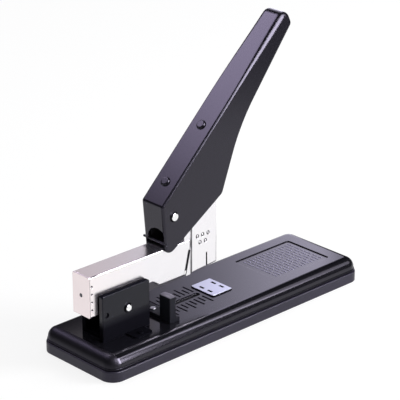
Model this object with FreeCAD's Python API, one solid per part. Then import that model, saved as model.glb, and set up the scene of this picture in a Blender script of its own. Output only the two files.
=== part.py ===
"""Heavy-duty stapler: base with clinching anvil, paper guide, swinging arm with magazine, and press handle.

Millimetres. Origin at the middle of the base's underside. +Z up, +Y towards the paper end, +X to the
side that carries the peened end of the hinge pin. The arm is drawn level, as it stands when it is raised.
"""
import FreeCAD
import Part
import math
import os

V = FreeCAD.Vector

# Base
base_length = 272.0
base_width = 82.6
base_corner = 11.0
mat_height = 8.4
mat_wall = 3.4
mat_floor = 2.4
mat_edge = 0.9
rib_thickness = 1.8
rib_height = 3.6
rib_pitch = 44.0
groove_height = 1.1
groove_depth = 2.9
cover_top = 19.6
cover_sheet = 1.2
cover_inset = 1.3
cover_shoulder = 8.2
cover_lip = 0.5
cover_lip_height = 1.0
bed_half_width = 28.0
bed_sheet = 2.0
bed_rear = -118.0
bed_front = 23.0
stud_x = 18.0
stud_inset_rear = 14.0
stud_inset_front = 13.5
stud_radius = 3.2
stud_foot = 6.0
screw_radius = 1.5
screw_head_radius = 2.8
screw_head_height = 1.8
screw_sink = 0.5
screw_slot_width = 0.8
screw_slot_length = 4.0
screw_slot_depth = 0.7
screw_reach_gap = 3.0
stud_bore_roof = 2.0
boss_radius = 5.0

# Sunk panel at the paper end
panel_half_width = 23.5
panel_length = 63.0
panel_margin = 19.0
panel_depth = 0.8
panel_corner = 2.5

# Anvil
anvil_half_width = 12.8
anvil_rear = -4.8
anvil_length = 20.6
anvil_corner = 1.2
anvil_proud = 1.2
anvil_gap = 0.4
anvil_edge = 0.3
pocket_half_spread = 4.6
pocket_length = 5.4
pocket_width = 2.2
pocket_depth = 1.0
pocket_row_pitch = 12.7
anvil_stud_radius = 2.0
anvil_stud_foot = 1.2

# Hinge bracket and hinge pin
hinge_y = -95.3
hinge_z = 41.0
hinge_pin_radius = 2.7
hinge_pin_near_proud = 1.7
hinge_pin_far_proud = 1.6
hinge_ring_radius = 3.9
hinge_ring_depth = 1.0
bracket_inner = 9.9
bracket_thickness = 4.2
bracket_top = 57.3
bracket_front = -73.0
bracket_near_rear = -120.2
bracket_far_rear = -117.0
bracket_corner = 1.6
bracket_edge = 0.7
bracket_web = 2.4
tab_thickness = 0.9
tab_reach = 12.0
tab_y = -89.0
tab_half_length = 9.0
tab_corner = 3.0
tab_rivet_x = 21.5
web_rivet_y = -111.0
dimple_y = -116.2
dimple_z = 41.0
dimple_radius = 2.3
dimple_depth = 1.2
rivet_radius = 1.4
rivet_head_radius = 2.3
rivet_head_height = 0.9
washer_inset = 0.6

# Paper guide
slot_half_width = 2.6
slot_rear = -62.0
slot_front = -8.0
guide_y = -62.0
guide_bar_width = 10.0
guide_bar_height = 3.0
guide_post_depth = 6.4
guide_post_inner = 12.5
guide_post_outer = 24.5
guide_post_top = 41.2
guide_edge = 0.8
guide_rivet_radius = 1.6
guide_rivet_head = 2.6
guide_rivet_setback = 0.2
guide_washer_radius = 5.0
guide_washer_height = 1.4
guide_washer_play = 0.2

# Depth scale on both sides of the slot
scale_pitch = 4.6
scale_count = 10
scale_front = -10.6
scale_start = 5.0
scale_long = 12.6
scale_short = 8.6
scale_width = 1.9
scale_depth = 0.45

# Arm: outer chromed channel
arm_top = 74.1
arm_rear = -129.0
arm_half_width = 9.3
arm_sheet = 0.9
arm_bend = 1.0
arm_tail_bottom = 41.0
arm_front_bottom = 46.0
arm_waist = 50.6
waist_end_y = -65.0
cover_end = -26.2
slant_height = 19.5
slant_reach = 4.6
slant_step = 1.5
slant_gap = 2.8
hinge_lug_radius = 8.0
tail_flange = 9.0
sleeve_wall = 0.9
crimp_y = -126.2
crimp_radius = 0.95
crimp_foot = 0.6
crimp_depth = 0.55
crimp_count = 4
crimp_low = 47.0
crimp_pitch = 6.45
lug_shoulder = 3.0
waist_rise_run = 6.5
slant_corner = 0.5

# Arm: frame plates inside it
frame_sheet = 1.0
frame_bottom = 44.2
ear_radius = 8.9
ear_crown = 8.2
ear_heel = 1.5
head_rear = -25.3
head_front = 2.4
head_sheet = 1.2
head_rear_bottom = 45.0
head_front_bottom = 47.0
head_top = 106.8
head_crest_y = -9.0
ear_neck_y = -25.0
head_mouth = 88.8
head_bend = 1.8
head_corner = 2.0
head_crest_corner = 3.0
head_foot_corner = 0.6
head_shoulder_rise = 14.0
slit_y = -9.0
slit_width = 1.3
slit_top = 58.6
mark_radius = 1.6
mark_inner = 0.8
mark_depth = 0.4
mark_pitch = 5.7
mark_row_z = 74.8
mark_row_drop = 5.8
mark_first_y = -18.9
mark_count = 5
mark_row_count = 3

# Magazine
channel_sheet = 0.8
channel_top = 64.6
channel_bottom = 48.4
rail_half_width = 5.75
rail_sheet = 0.9
rail_top = 62.2
rail_bottom = 48.4
staple_wire = 0.6
staple_leg = 13.0
staple_gap = 0.1
strip_length = 50.0
rail_pin_y = -117.0
rail_pin_z = 53.8
rail_pin_radius = 1.5
channel_start = 6.0
channel_edge = 0.4
guide_rod_radius = 1.5
guide_rod_z = 57.4
rod_stop_gap = 6.5
rod_stop_sheet = 1.5
rod_stop_rise = 3.0
rod_end_gap = 6.0
pusher_length = 14.0
pusher_floor = 0.8
pusher_coil_radius = 3.1
pusher_wire = 0.7
pusher_turns = 13

# Handle
pivot_y = -45.3
pivot_z = 99.7
pivot_pin_radius = 3.2
pivot_pin_proud = 1.6
pivot_ring_radius = 4.2
pivot_ring_depth = 0.8
clip_thickness = 0.8
clip_reach = 2.2
clip_seat = 2.4
pin_edge = 0.5
groove_collar = 1.0
handle_sheet = 1.4
handle_side_gap = 0.8
handle_slope = 44.2
bend_y = -57.2
bend_z = 110.5
bend_corner = 2.5
face_length = 185.3
tip_lean = 4.4
tip_depth = 13.2
tip_corner = 7.0
tip_half_width = 10.4
tip_edge = 4.0
taper_run = 96.4
taper_curve = 1500.0
waist_run = 90.8
waist_depth = 24.2
waist_corner = 140.0
throat_y = 5.4
throat_z = 104.8
throat_corner = 5.0
nose_y = -53.3
nose_z = 67.6
nose_corner = 6.8
handle_edge = 2.0
fold_share = 0.7
heel_foot = 79.2
arch_radius = 11.5
arch_x = 3.5
button_runs = (19.9, 71.9)
button_radius = 3.9
button_height = 1.7
button_shank = 2.0
button_flare = 0.9
button_foot = 0.9
heel_rod_radius = 1.0
heel_rod_y = -52.5
heel_rod_z = 78.4
heel_rod_proud = 2.6

# Press bracket, press pin and ram
press_radius = 25.9
press_angle_degrees = 8.6
press_pin_radius = 4.0
press_sheet = 1.5
press_lobe = 6.0
press_boss = 7.0
press_spindle_step = 1.5
press_front_depth = 5.0
press_side_play = 0.05
press_run_rear = 10.4
press_run_front = 85.4
ram_travel = 18.8
ram_half_width = 6.7
ram_neck_half_width = 5.1
ram_neck_height = 10.2
ram_depth = 21.5
ram_low_gap = 0.8
ram_keel = 2.0
ram_neck_gap = 9.0
ram_neck_back = 1.0
ram_roof = 3.5
blade_thickness = 0.7
blade_rear_gap = 0.2
blade_rivet_radius = 1.0
blade_rivet_inset = 2.6
blade_rivet_depth = 3.0
rivet_end_gap = 0.2
blade_rest_above_strip = 4.7
ram_coil_radius = 3.0
ram_wire = 0.9
ram_turns = 8

# Lift spring
lift_y = -80.0
lift_coil_radius = 5.4
lift_wire = 1.4
lift_turns = 5
seat_thickness = 1.5
seat_half_length = 5.6

# Upset rivet ends, closed turns of a coil, and how far a cutter reaches past a face
upset_flare = 0.8
upset_length = 1.0
closed_turn_gap = 0.45
past = 1.0

# Clearances
run_gap = 0.06
hole_gap = 0.1
side_gap = 0.3
slide_gap = 0.15
touch = 0.3
washer_gap = 0.08
thread_gap = 0.05
over = 5.0


def box(x0, x1, y0, y1, z0, z1):
    return Part.makeBox(x1 - x0, y1 - y0, z1 - z0, V(x0, y0, z0))


def rod(axis, radius, start, end, a, b):
    """A round bar along x, y or z from start to end. a and b are the two other coordinates, in that order."""
    base = {"x": V(start, a, b), "y": V(a, start, b), "z": V(a, b, start)}[axis]
    line = {"x": V(1, 0, 0), "y": V(0, 1, 0), "z": V(0, 0, 1)}[axis]
    return Part.makeCylinder(radius, end - start, base, line)


def rounded_wire(corners, place):
    """A closed outline through corners (a, b, radius), each corner rounded by its radius."""
    count = len(corners)
    edges = []
    previous_end = None
    first_start = None
    for i in range(count):
        a, b, radius = corners[i]
        before = corners[i - 1]
        after = corners[(i + 1) % count]
        here = V(a, b, 0)
        back = (V(before[0], before[1], 0) - here).normalize()
        ahead = (V(after[0], after[1], 0) - here).normalize()
        if radius > 0:
            half = back.getAngle(ahead) / 2
            reach = radius / math.tan(half)
            start = here + back * reach
            end = here + ahead * reach
            middle_line = (back + ahead).normalize()
            middle = here + middle_line * (radius / math.sin(half) - radius)
        else:
            start = here
            end = here
        if previous_end is None:
            first_start = start
        elif (start - previous_end).Length > 1e-6:
            edges.append(Part.LineSegment(place(previous_end), place(start)).toShape())
        if radius > 0:
            edges.append(Part.Arc(place(start), place(middle), place(end)).toShape())
        previous_end = end
    edges.append(Part.LineSegment(place(previous_end), place(first_start)).toShape())
    return Part.Wire(edges)


def side_plate(corners, x0, x1):
    """A plate between x0 and x1 whose side outline has corners (y, z, radius)."""
    face = Part.Face(rounded_wire(corners, lambda p: V(x0, p.x, p.y)))
    return face.extrude(V(x1 - x0, 0, 0))


def flat_plate(corners, z0, z1):
    """A plate between z0 and z1 whose plan outline has corners (x, y, radius)."""
    face = Part.Face(rounded_wire(corners, lambda p: V(p.x, p.y, z0)))
    return face.extrude(V(0, 0, z1 - z0))


def end_plate(corners, y0, y1):
    """A plate between y0 and y1 whose end outline has corners (x, z, radius)."""
    face = Part.Face(rounded_wire(corners, lambda p: V(p.x, y0, p.y)))
    return face.extrude(V(0, y1 - y0, 0))


def rectangle(half_x, y0, y1, radius):
    return [(half_x, y0, radius), (half_x, y1, radius), (-half_x, y1, radius), (-half_x, y0, radius)]


def mirrored(shape):
    return shape.mirror(V(0, 0, 0), V(1, 0, 0))


def join(shapes):
    whole = shapes[0].multiFuse(shapes[1:]) if len(shapes) > 1 else shapes[0]
    return whole.removeSplitter()


def fillet(shape, radius, wanted):
    """Rounds the edges for which wanted(edge) is true."""
    return shape.makeFillet(radius, [e for e in shape.Edges if wanted(e)])


def top_edges(shape, height):
    return lambda e: e.BoundBox.ZMin > height - 0.01


def biarc_edges(start, start_line, end, end_line):
    """Two tangent arcs between two points with given directions."""
    chord = end - start
    total = start_line + end_line
    spread = 2 * (1 - start_line.dot(end_line))
    along = chord.dot(total)
    reach = (-along + math.sqrt(along * along + spread * chord.dot(chord))) / spread
    first_corner = start + start_line * reach
    second_corner = end - end_line * reach
    joint = (first_corner + second_corner) * 0.5
    edges = []
    for a, corner, b in ((start, first_corner, joint), (joint, second_corner, end)):
        middle = (a + b) * 0.5
        rise = corner - middle
        half_chord = (b - a).Length / 2
        turn = math.atan2(rise.Length, half_chord)
        crest = middle + rise * (math.tan(turn / 2) / math.tan(turn))
        edges.append(Part.Arc(a, crest, b).toShape())
    return edges


def coil_height(turn, turns, wire, length):
    """Height of the wire's centre after a number of turns, with one closed turn at each end."""
    closed = wire + closed_turn_gap
    open_pitch = (length - wire - 2 * closed) / (turns - 2)
    if turn <= 1:
        return wire / 2 + closed * turn
    if turn <= turns - 1:
        return wire / 2 + closed + open_pitch * (turn - 1)
    return wire / 2 + closed + open_pitch * (turns - 2) + closed * (turn - turns + 1)


def coil_spring(radius, wire, turns, length):
    """A compression spring along +Z from z = 0, one unbroken wire."""
    def centre(turn):
        angle = 2 * math.pi * turn
        height = coil_height(turn, turns, wire, length)
        return V(radius * math.cos(angle), radius * math.sin(angle), height)

    def line(turn):
        step = 0.01
        return (centre(min(turn + step, turns)) - centre(max(turn - step, 0))).normalize()

    edges = []
    for i in range(2 * turns):
        edges += biarc_edges(centre(i / 2), line(i / 2), centre(i / 2 + 0.5), line(i / 2 + 0.5))
    path = Part.Wire(edges)
    ring = Part.Wire(Part.Circle(centre(0), line(0), wire / 2).toShape())
    spring = path.makePipeShell([ring], True, False)
    gap = min((centre(t / 8) - centre(t / 8 + 1)).Length for t in range(8 * (turns - 1)))
    print("coil of wire", wire, "turns", turns, "least gap", round(gap - wire, 2))
    print("volume share", round(spring.Volume / (path.Length * math.pi * wire * wire / 4), 3))
    return spring


# Heights and widths that follow
cover_foot = mat_height + groove_height
bed_top = cover_top - cover_sheet
bed_under = bed_top - bed_sheet
stud_rear_y = -base_length / 2 + stud_inset_rear
stud_front_y = base_length / 2 - stud_inset_front
panel_front = base_length / 2 - panel_margin
panel_rear = panel_front - panel_length
anvil_top = cover_top + anvil_proud
anvil_front = anvil_rear + anvil_length
bracket_outer = bracket_inner + bracket_thickness
web_top = cover_top + bracket_web
tab_top = cover_top + tab_thickness
guide_bar_foot = cover_top + hole_gap
guide_bar_top = guide_bar_foot + guide_bar_height
guide_rivet_y = guide_y + guide_bar_width / 2 - guide_rivet_setback
frame_outer = arm_half_width - arm_sheet
frame_inner = frame_outer - frame_sheet
head_outer = frame_outer + head_sheet
handle_half_width = head_outer + handle_side_gap + handle_sheet
tip_run = face_length - tip_lean
head_inside_front = head_front - head_sheet
blade_front = head_inside_front - slide_gap
blade_rear = blade_front - blade_thickness
rail_front = blade_rear - blade_rear_gap
strip_top = rail_top + staple_gap + staple_wire
strip_rear = rail_front - strip_length
strip_inner = rail_half_width + staple_gap
strip_outer = strip_inner + staple_wire
pusher_front = strip_rear - touch
pusher_rear = pusher_front - pusher_length
cheek_inner = handle_half_width - handle_sheet
press_outer = frame_inner - side_gap
press_inner = press_outer - press_sheet
slope = math.radians(handle_slope)
face_line = V(math.cos(slope), math.sin(slope), 0)
face_normal = V(math.sin(slope), -math.cos(slope), 0)
bend = V(bend_y, bend_z, 0)
press_angle = math.radians(press_angle_degrees)
press_y = pivot_y + press_radius * math.cos(press_angle)
press_z = pivot_z + press_radius * math.sin(press_angle)
ram_top = press_z - press_pin_radius - slide_gap
ram_body_top = ram_top - ram_neck_height
ram_bottom = channel_top + ram_travel + ram_low_gap
ram_front = blade_rear
ram_rear = ram_front - ram_depth
blade_bottom = strip_top + blade_rest_above_strip
ram_spring_y = (ram_front + ram_rear) / 2


def on_face(run, depth):
    """Side-view point at a run along the handle's closed face and a depth below it."""
    return bend + face_line * run + face_normal * depth


def slanted_rise(y):
    """How far the head's underside has risen at y."""
    return (head_front_bottom - head_rear_bottom) * (y - head_rear) / (head_front - head_rear)


# Base pieces
def plan(inset, z0, z1):
    """A block with the base's plan, drawn in by inset."""
    half = base_width / 2 - inset
    end = base_length / 2 - inset
    return flat_plate(rectangle(half, -end, end, base_corner - inset), z0, z1)


def stud_places():
    return [(x, y) for y in (stud_rear_y, stud_front_y) for x in (-stud_x, stud_x)]


def base_mat():
    skirt = plan(0, 0, mat_height)
    skirt = fillet(skirt, mat_edge, top_edges(skirt, mat_height))
    neck = plan(groove_depth, mat_height, cover_foot)
    pan = skirt.fuse(neck).cut(plan(mat_wall + groove_depth, mat_floor, cover_foot + over))
    inner_half = base_width / 2 - mat_wall - groove_depth
    inner_end = base_length / 2 - mat_wall - groove_depth
    ribs = []
    for i in range(-2, 3):
        y = i * rib_pitch
        ribs.append(box(-inner_half, inner_half, y, y + rib_thickness, mat_floor, mat_floor + rib_height))
    for x in (-stud_x, stud_x):
        half = rib_thickness / 2
        ribs.append(box(x - half, x + half, -inner_end, inner_end, mat_floor, mat_floor + rib_height))
    bosses = [rod("z", boss_radius, mat_floor, stud_foot, x, y) for x, y in stud_places()]
    mat = join([pan] + ribs + bosses)
    for x, y in stud_places():
        mat = mat.cut(rod("z", screw_radius + hole_gap, 0, stud_foot, x, y))
        mat = mat.cut(rod("z", screw_head_radius + hole_gap, 0, screw_sink + screw_head_height, x, y))
    return mat


def slot_cut(z0, z1):
    return flat_plate(
        rectangle(slot_half_width, slot_rear - slot_half_width, slot_front, slot_half_width - 0.01), z0, z1
    )


def scale_cuts():
    """Short sunk lines on both sides of the slot, long and short in turn."""
    cuts = []
    for i in range(scale_count):
        y = scale_front - i * scale_pitch
        length = scale_long if i % 2 == 0 else scale_short
        end = scale_start + length
        line = box(scale_start, end, y, y + scale_width, cover_top - scale_depth, cover_top + past)
        cuts += [line, mirrored(line)]
    return cuts


def rivet_places():
    """Places of the rivets that hold the bracket, with the height each head stands on."""
    return [(tab_rivet_x, tab_y, tab_top), (-tab_rivet_x, tab_y, tab_top), (0.0, web_rivet_y, web_top)]


def anvil_stud_places():
    middle = (anvil_rear + anvil_front) / 2
    return [(-pocket_half_spread, middle), (pocket_half_spread, middle)]


def base_cover():
    outer = plan(cover_inset, cover_foot, cover_top)
    outer = fillet(outer, cover_shoulder, top_edges(outer, cover_top))
    lip = plan(cover_inset - cover_lip, cover_foot, cover_foot + cover_lip_height)
    lip = fillet(lip, cover_lip - 0.05, top_edges(lip, cover_foot + cover_lip_height))
    inner = plan(cover_inset + cover_sheet, cover_foot, bed_top)
    inner = fillet(inner, cover_shoulder - cover_sheet, top_edges(inner, bed_top))
    shell = outer.fuse(lip).cut(inner)
    pad_half = panel_half_width + cover_sheet
    pad_outline = rectangle(pad_half, panel_rear - cover_sheet, panel_front + cover_sheet, panel_corner)
    pad = flat_plate(pad_outline, bed_top - panel_depth, bed_top)
    studs = [rod("z", stud_radius, stud_foot, bed_top, x, y) for x, y in stud_places()]
    cover = join([shell, pad] + studs)
    cuts = scale_cuts()
    panel_outline = rectangle(panel_half_width, panel_rear, panel_front, panel_corner)
    cuts.append(flat_plate(panel_outline, cover_top - panel_depth, cover_top + past))
    seat_half = anvil_half_width + anvil_gap
    seat = rectangle(seat_half, anvil_rear - anvil_gap, anvil_front + anvil_gap, anvil_corner)
    cuts.append(flat_plate(seat, bed_top - past, cover_top + past))
    cuts.append(slot_cut(bed_top - past, cover_top + past))
    for x, y, _ in rivet_places():
        cuts.append(rod("z", rivet_radius + hole_gap, bed_top - past, cover_top + past, x, y))
    for x, y in stud_places():
        cuts.append(rod("z", screw_radius, stud_foot - past, bed_top - stud_bore_roof, x, y))
    return cover.cut(Part.makeCompound(cuts))


def bed_plate():
    leg_foot = mat_floor + rib_height
    web = box(-bed_half_width, bed_half_width, bed_rear, bed_front, bed_under, bed_top)
    leg = box(bed_half_width - bed_sheet, bed_half_width, bed_rear, bed_front, leg_foot, bed_top)
    bed = join([web, leg, mirrored(leg)])
    bed = bed.cut(slot_cut(bed_under - past, bed_top + past))
    for x, y, _ in rivet_places():
        bed = bed.cut(rod("z", rivet_radius + hole_gap, bed_under - past, bed_top + past, x, y))
    for x, y in anvil_stud_places():
        bed = bed.cut(rod("z", anvil_stud_radius + hole_gap, bed_under - past, bed_top + past, x, y))
    return bed


def pocket_rows():
    middle = (anvil_rear + anvil_front) / 2
    return (middle - pocket_row_pitch / 2, middle + pocket_row_pitch / 2)


def anvil_plate():
    outline = rectangle(anvil_half_width, anvil_rear, anvil_front, anvil_corner)
    plate = flat_plate(outline, bed_top, anvil_top)
    plate = fillet(plate, anvil_edge, top_edges(plate, anvil_top))
    foot = bed_under - anvil_stud_foot
    studs = [rod("z", anvil_stud_radius, foot, bed_top, x, y) for x, y in anvil_stud_places()]
    anvil = join([plate] + studs)
    half = pocket_length / 2
    curve = (half * half + pocket_depth * pocket_depth) / (2 * pocket_depth)
    for y in pocket_rows():
        for x in (-pocket_half_spread, pocket_half_spread):
            lift = anvil_top + curve - pocket_depth
            anvil = anvil.cut(rod("y", curve, y - pocket_width / 2, y + pocket_width / 2, x, lift))
    return anvil


def upright(x0, x1, rear):
    """One upright plate of the bracket, with softened edges."""
    corners = [
        (rear, cover_top, 0),
        (bracket_front, cover_top, 0),
        (bracket_front, bracket_top, bracket_corner),
        (rear, bracket_top, bracket_corner),
    ]
    plate = side_plate(corners, x0, x1)
    rim = [e for e in plate.Edges if e.BoundBox.XLength < 0.01 and e.BoundBox.ZMax > cover_top + 0.1]
    return plate.makeFillet(bracket_edge, rim)


def hinge_bracket():
    near = upright(bracket_inner, bracket_outer, bracket_near_rear)
    far = upright(-bracket_outer, -bracket_inner, bracket_far_rear)
    web = box(-bracket_inner - 1, bracket_inner + 1, bracket_far_rear, bracket_front, cover_top, web_top)
    tab = flat_plate(
        [
            (bracket_outer - past, tab_y - tab_half_length, 0),
            (bracket_outer + tab_reach, tab_y - tab_half_length, tab_corner),
            (bracket_outer + tab_reach, tab_y + tab_half_length, tab_corner),
            (bracket_outer - past, tab_y + tab_half_length, 0),
        ],
        cover_top,
        tab_top,
    )
    bracket = join([near, far, web, tab, mirrored(tab)])
    bracket = bracket.cut(rod("x", hinge_pin_radius + run_gap, -over * 4, over * 4, hinge_y, hinge_z))
    for x, y, _ in rivet_places():
        bracket = bracket.cut(rod("z", rivet_radius + hole_gap, cover_top - past, web_top + past, x, y))
    end = bracket_outer + past
    ring = rod("x", hinge_ring_radius, bracket_outer - hinge_ring_depth, end, hinge_y, hinge_z)
    dimple = rod("x", dimple_radius, bracket_outer - dimple_depth, end, dimple_y, dimple_z)
    return bracket.cut(ring).cut(dimple)


def rivet(base, line, head, height, shank, grip, flare=upset_flare, foot=upset_length):
    """A rivet whose round-edged head stands on base along line, with its upset end beyond the grip."""
    button = Part.makeCylinder(head, height)
    button = button.makeFillet(height * 0.8, [e for e in button.Edges if e.BoundBox.ZMin > height - 0.01])
    stem = Part.makeCylinder(shank, grip + foot, V(0, 0, -grip - foot))
    end = Part.makeCylinder(shank + flare, foot, V(0, 0, -grip - foot))
    body = join([button, stem, end])
    body.Placement = FreeCAD.Placement(base, FreeCAD.Rotation(V(0, 0, 1), line))
    return body


def bracket_rivets():
    rivets = []
    for x, y, seat in rivet_places():
        base = V(x, y, seat)
        grip = seat - bed_under
        rivets.append(rivet(base, V(0, 0, 1), rivet_head_radius, rivet_head_height, rivet_radius, grip))
    return Part.makeCompound(rivets)


def peened_pin(radius, x0, x1, y, z):
    pin = rod("x", radius, x0, x1, y, z)
    return pin.makeFillet(pin_edge, [e for e in pin.Edges if e.BoundBox.XLength < 0.01])


def hinge_pin():
    start = -bracket_outer - hinge_pin_far_proud
    end = bracket_outer + hinge_pin_near_proud
    return peened_pin(hinge_pin_radius, start, end, hinge_y, hinge_z)


def hinge_washers():
    start = arm_half_width + washer_gap
    end = bracket_inner - washer_gap
    washer = rod("x", hinge_lug_radius - washer_inset, start, end, hinge_y, hinge_z)
    washer = washer.cut(rod("x", hinge_pin_radius + run_gap, start - past, end + past, hinge_y, hinge_z))
    return Part.makeCompound([washer, mirrored(washer)])


def base_screws():
    screws = []
    for x, y in stud_places():
        head = rod("z", screw_head_radius, screw_sink, screw_sink + screw_head_height, x, y)
        shank = rod("z", screw_radius - thread_gap, screw_sink, bed_under - screw_reach_gap, x, y)
        half = screw_slot_width / 2
        reach = screw_slot_length / 2
        slot = box(x - reach, x + reach, y - half, y + half, 0, screw_sink + screw_slot_depth)
        screws.append(head.fuse(shank).cut(slot))
    return Part.makeCompound(screws)


def lift_spring():
    spring = coil_spring(lift_coil_radius, lift_wire, lift_turns, spring_seat_bottom() - web_top)
    spring.translate(V(0, lift_y, web_top))
    return spring


def spring_seat_bottom():
    return frame_bottom - seat_thickness


# Paper guide
def paper_guide():
    bar_front = guide_y + guide_bar_width
    post_front = guide_y + guide_post_depth
    bar = box(-guide_post_outer, guide_post_outer, guide_y, bar_front, guide_bar_foot, guide_bar_top)
    post = box(guide_post_inner, guide_post_outer, guide_y, post_front, guide_bar_foot, guide_post_top)
    at_top = top_edges(post, guide_post_top)
    post = fillet(post, guide_edge, lambda e: e.BoundBox.ZLength > 10 or at_top(e))
    keel_half = slot_half_width - slide_gap
    keel = box(-keel_half, keel_half, guide_y, bar_front, bed_under, guide_bar_foot)
    guide = join([bar, keel, post, mirrored(post)])
    hole = rod("z", guide_rivet_radius + hole_gap, bed_under - past, guide_bar_top + past, 0, guide_rivet_y)
    return guide.cut(hole)


def guide_washer_top():
    return bed_under - guide_washer_play


def guide_rivet():
    washer_foot = guide_washer_top() - guide_washer_height
    base = V(0, guide_rivet_y, guide_bar_top)
    grip = guide_bar_top - washer_foot
    return rivet(base, V(0, 0, 1), guide_rivet_head, rivet_head_height, guide_rivet_radius, grip)


def guide_washer():
    top = guide_washer_top()
    foot = top - guide_washer_height
    washer = rod("z", guide_washer_radius, foot, top, 0, guide_rivet_y)
    return washer.cut(rod("z", guide_rivet_radius + hole_gap, foot - past, top + past, 0, guide_rivet_y))


# Arm pieces
def arm_outline():
    """Side outline of the outer channel, with the lug for the hinge pin and the slanted front end."""
    lug = hinge_z - hinge_lug_radius
    slant_top = cover_end - slant_step
    return [
        (arm_rear + arm_sheet, arm_tail_bottom, 1.5),
        (hinge_y - hinge_lug_radius - lug_shoulder, arm_tail_bottom, 3.0),
        (hinge_y - hinge_lug_radius, lug, 7.0),
        (hinge_y + hinge_lug_radius, lug, 7.0),
        (hinge_y + hinge_lug_radius + lug_shoulder, arm_waist, 4.0),
        (waist_end_y, arm_waist, 4.0),
        (waist_end_y + waist_rise_run, arm_front_bottom, 3.0),
        (slant_top - slant_reach, arm_front_bottom, 1.0),
        (slant_top, arm_front_bottom + slant_height, slant_corner),
        (cover_end, arm_front_bottom + slant_height + slant_step, slant_corner),
        (cover_end, arm_top, slant_corner),
        (arm_rear + arm_sheet, arm_top, 0),
    ]


def body_cover():
    solid = side_plate(arm_outline(), -arm_half_width, arm_half_width)
    solid = solid.makeFillet(
        arm_bend, [e for e in solid.Edges if e.BoundBox.ZMin > arm_top - 0.01 and e.BoundBox.YLength > 20]
    )
    hollow = box(-frame_outer, frame_outer, arm_rear - past, over, hinge_z - over * 3, arm_top - arm_sheet)
    cover = solid.cut(hollow)
    cover = cover.cut(rod("x", hinge_pin_radius + run_gap, -over * 4, over * 4, hinge_y, hinge_z))
    roof = arm_top - arm_sheet
    slot_inner = frame_inner - hole_gap
    slot_start = ear_rear() - hole_gap
    ear_slot = box(slot_inner, frame_outer, slot_start, cover_end + past, roof, arm_top + past)
    cover = cover.cut(ear_slot).cut(mirrored(ear_slot))
    for i in range(crimp_count):
        place = V(arm_half_width - crimp_depth, crimp_y, crimp_low + i * crimp_pitch)
        dent = Part.makeCone(crimp_foot, crimp_radius, crimp_depth, place, V(1, 0, 0))
        cover = cover.cut(dent).cut(mirrored(dent))
    return cover


def tail_cap():
    face = end_plate(
        [
            (-arm_half_width, arm_tail_bottom, 0.5),
            (arm_half_width, arm_tail_bottom, 0.5),
            (arm_half_width, arm_top, arm_bend),
            (-arm_half_width, arm_top, arm_bend),
        ],
        arm_rear,
        arm_rear + arm_sheet,
    )
    flange = box(
        frame_outer - arm_sheet,
        frame_outer,
        arm_rear + arm_sheet,
        arm_rear + arm_sheet + tail_flange,
        arm_tail_bottom + 1.5,
        arm_top - arm_sheet - 1,
    )
    cap = join([face, flange, mirrored(flange)])
    return cap.cut(rod("y", guide_rod_radius + hole_gap, arm_rear - past, arm_rear + over, 0, guide_rod_z))


def ear_rear():
    """The ear's rear edge, which the heel rod rests against when the handle is up."""
    return heel_rod_y + heel_rod_radius + touch


def frame_outline():
    """Side outline of a frame plate: hinge lug, magazine side, head and the ear round the handle's pivot."""
    lug = hinge_z - hinge_lug_radius + 1
    lug_rear = hinge_y - hinge_lug_radius + 1
    lug_front = hinge_y + hinge_lug_radius - 1
    return [
        (lug_rear, lug, 6.0),
        (lug_front, lug, 6.0),
        (lug_front + 1, frame_bottom, 1.5),
        (head_rear - touch, frame_bottom, 0),
        (head_rear, head_rear_bottom + hole_gap, 0),
        (head_inside_front, head_rear_bottom + hole_gap + slanted_rise(head_inside_front), 0.5),
        (head_inside_front, head_top - head_corner, head_corner),
        (head_crest_y - 1, head_top - head_corner, 3.0),
        (ear_neck_y, pivot_z - 8, 4.0),
        (pivot_y + ear_radius + 6, pivot_z - 5, 4.0),
        (pivot_y + ear_radius, pivot_z + ear_radius, 6.0),
        (pivot_y - ear_radius + ear_heel, pivot_z + ear_radius, ear_crown),
        (pivot_y - ear_radius + ear_heel, heel_rod_z + 8, 2.0),
        (ear_rear(), heel_rod_z + 3, 1.0),
        (ear_rear(), arm_top - 6, 4.0),
        (lug_rear - 2, arm_top - 8, 6.0),
    ]


def frame_plate():
    plate = side_plate(frame_outline(), frame_inner, frame_outer)
    plate = plate.cut(rod("x", hinge_pin_radius + run_gap, 0, over * 4, hinge_y, hinge_z))
    plate = plate.cut(rod("x", pivot_pin_radius + run_gap, 0, over * 4, pivot_y, pivot_z))
    slant_top = cover_end - slant_step
    slant_low = slant_top - slant_reach * (slant_height + over) / slant_height
    gap = [
        (slant_low, arm_front_bottom - over, 0),
        (slant_low + slant_gap, arm_front_bottom - over, 0),
        (slant_top + slant_gap, arm_front_bottom + slant_height, slant_gap * 0.45),
        (slant_top, arm_front_bottom + slant_height, slant_gap * 0.45),
    ]
    return plate.cut(side_plate(gap, frame_inner - past, frame_outer + past))


def hinge_sleeve():
    tube = rod("x", hinge_pin_radius + sleeve_wall, -frame_inner, frame_inner, hinge_y, hinge_z)
    return tube.cut(rod("x", hinge_pin_radius + run_gap, -over * 4, over * 4, hinge_y, hinge_z))


def spring_seat():
    low = spring_seat_bottom()
    rear = lift_y - seat_half_length
    front = lift_y + seat_half_length
    return box(-frame_outer, frame_outer, rear, front, low, frame_bottom)


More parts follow.
